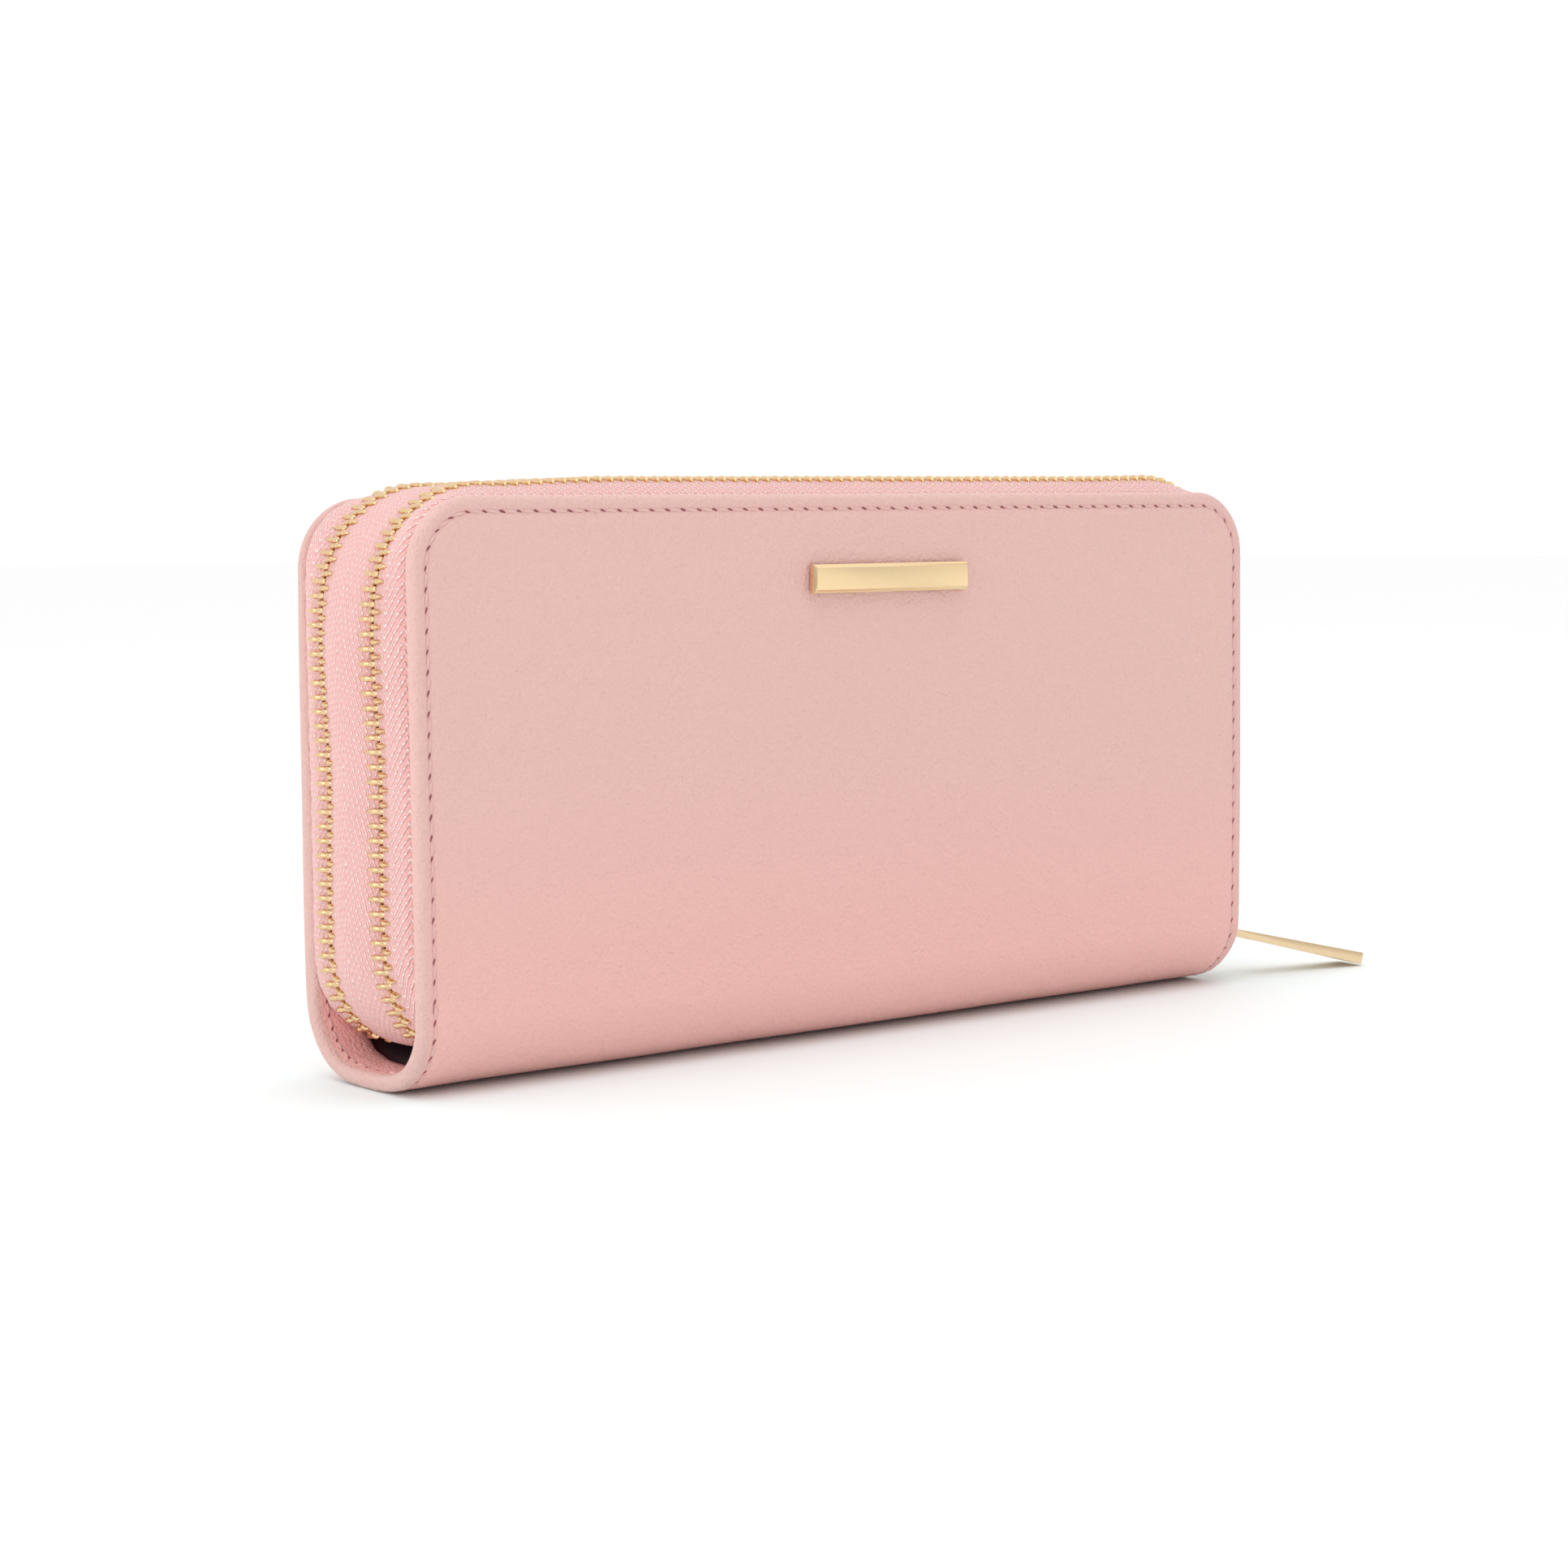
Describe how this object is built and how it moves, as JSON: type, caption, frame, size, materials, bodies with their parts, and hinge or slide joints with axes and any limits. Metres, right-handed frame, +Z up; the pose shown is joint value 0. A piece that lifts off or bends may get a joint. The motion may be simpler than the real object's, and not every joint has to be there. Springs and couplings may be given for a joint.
{
  "type": "double zip-around wallet",
  "caption": "Long double zip-around wallet in smooth leather that stands on its rounded spine, with two metal zips, card pockets and a zipped coin pocket.",
  "frame": {"origin": "centre of the flat underside of the spine that the wallet stands on", "axes": "+X along the wallet's length towards the sliders' rest end, -Y the front with the badge, +Z up"},
  "size_m": [0.2363, 0.0405, 0.1033],
  "materials": {
    "outer_leather": "smooth, fine grain, soft sheen",
    "board": "plain fibre board",
    "lining": "smooth, matt",
    "zip_tape": "herringbone weave",
    "zip_metal": "bright pale gold plate",
    "slider_metal": "polished pale gold plate",
    "puller_metal": "polished pale gold plate",
    "pocket_leather": "smooth, matt",
    "gusset_fabric": "fine plain weave",
    "badge_metal": "polished pale gold plate",
    "clip_metal": "plain",
    "thread": "twisted thread"
  },
  "bodies": {
    "core": {"spine_leather": "outer_leather", "spine_lining": "lining", "inner_floor": "lining", "centre_divider": "lining", "middle_band": "zip_tape", "front_tail_tapes": "zip_tape", "back_tail_tapes": "zip_tape", "coin_zip_tape": "zip_tape", "front_inner_teeth": "zip_metal", "back_inner_teeth": "zip_metal", "front_tail_teeth": "zip_metal", "back_tail_teeth": "zip_metal", "zip_stops": "zip_metal", "coin_zip_teeth": "zip_metal", "divider_card_pockets": "pocket_leather", "coin_pocket": "pocket_leather", "front_left_gusset": "gusset_fabric", "front_right_gusset": "gusset_fabric", "back_left_gusset": "gusset_fabric", "back_right_gusset": "gusset_fabric"},
    "front_cover": {"front_cover_leather": "outer_leather", "front_cover_board": "board", "front_cover_lining": "lining", "front_zip_tape": "zip_tape", "front_outer_teeth": "zip_metal", "front_card_pockets": "pocket_leather", "badge_bar": "badge_metal", "badge_prongs": "badge_metal", "badge_clips": "clip_metal", "front_stitching": "thread"},
    "back_cover": {"back_cover_leather": "outer_leather", "back_cover_board": "board", "back_cover_lining": "lining", "back_zip_tape": "zip_tape", "back_outer_teeth": "zip_metal", "note_pocket": "pocket_leather", "back_stitching": "thread"},
    "front_slider": {"front_slider_body": "slider_metal", "front_slider_bail": "slider_metal"},
    "back_slider": {"back_slider_body": "slider_metal", "back_slider_bail": "slider_metal"},
    "front_puller": {"front_puller": "puller_metal"},
    "back_puller": {"back_puller": "puller_metal"},
    "coin_slider": {"coin_slider_body": "slider_metal", "coin_slider_bail": "slider_metal"},
    "coin_puller": {"coin_puller": "puller_metal"}
  },
  "joints": [
    {"name": "front_cover_hinge", "type": "hinge", "parent": "core", "child": "front_cover", "pos_m": [0, -0.0186, 0.0124], "axis": [1, 0, 0], "range_deg": [0, 35], "deforming": ["front_zip_tape", "front_outer_teeth", "front_left_gusset", "front_right_gusset"]},
    {"name": "back_cover_hinge", "type": "hinge", "parent": "core", "child": "back_cover", "pos_m": [0, 0.0186, 0.0124], "axis": [-1, 0, 0], "range_deg": [0, 35], "deforming": ["back_zip_tape", "back_outer_teeth", "back_left_gusset", "back_right_gusset"]},
    {"name": "front_slider_slide", "type": "slide", "parent": "core", "child": "front_slider", "axis": [0, 0, 1], "range_m": [0, 0.062], "deforming": ["front_inner_teeth", "front_tail_teeth", "front_tail_tapes"]},
    {"name": "back_slider_slide", "type": "slide", "parent": "core", "child": "back_slider", "axis": [0, 0, 1], "range_m": [0, 0.062], "deforming": ["back_inner_teeth", "back_tail_teeth", "back_tail_tapes"]},
    {"name": "front_puller_swing", "type": "hinge", "parent": "front_slider", "child": "front_puller", "pos_m": [0.1023, -0.0084, 0.00975], "axis": [-0.1736, -0.9848, 0], "range_deg": [-74, 96]},
    {"name": "back_puller_swing", "type": "hinge", "parent": "back_slider", "child": "back_puller", "pos_m": [0.1023, 0.0084, 0.00975], "axis": [0, -1, 0], "range_deg": [-167, 2.5]},
    {"name": "coin_slider_slide", "type": "slide", "parent": "core", "child": "coin_slider", "axis": [1, 0, 0], "range_m": [0, 0.092], "deforming": ["coin_zip_teeth"]},
    {"name": "coin_puller_swing", "type": "hinge", "parent": "coin_slider", "child": "coin_puller", "pos_m": [-0.0488, 0.00605, 0.076], "axis": [0, 0, -1], "range_deg": [0, 145]}
  ]
}
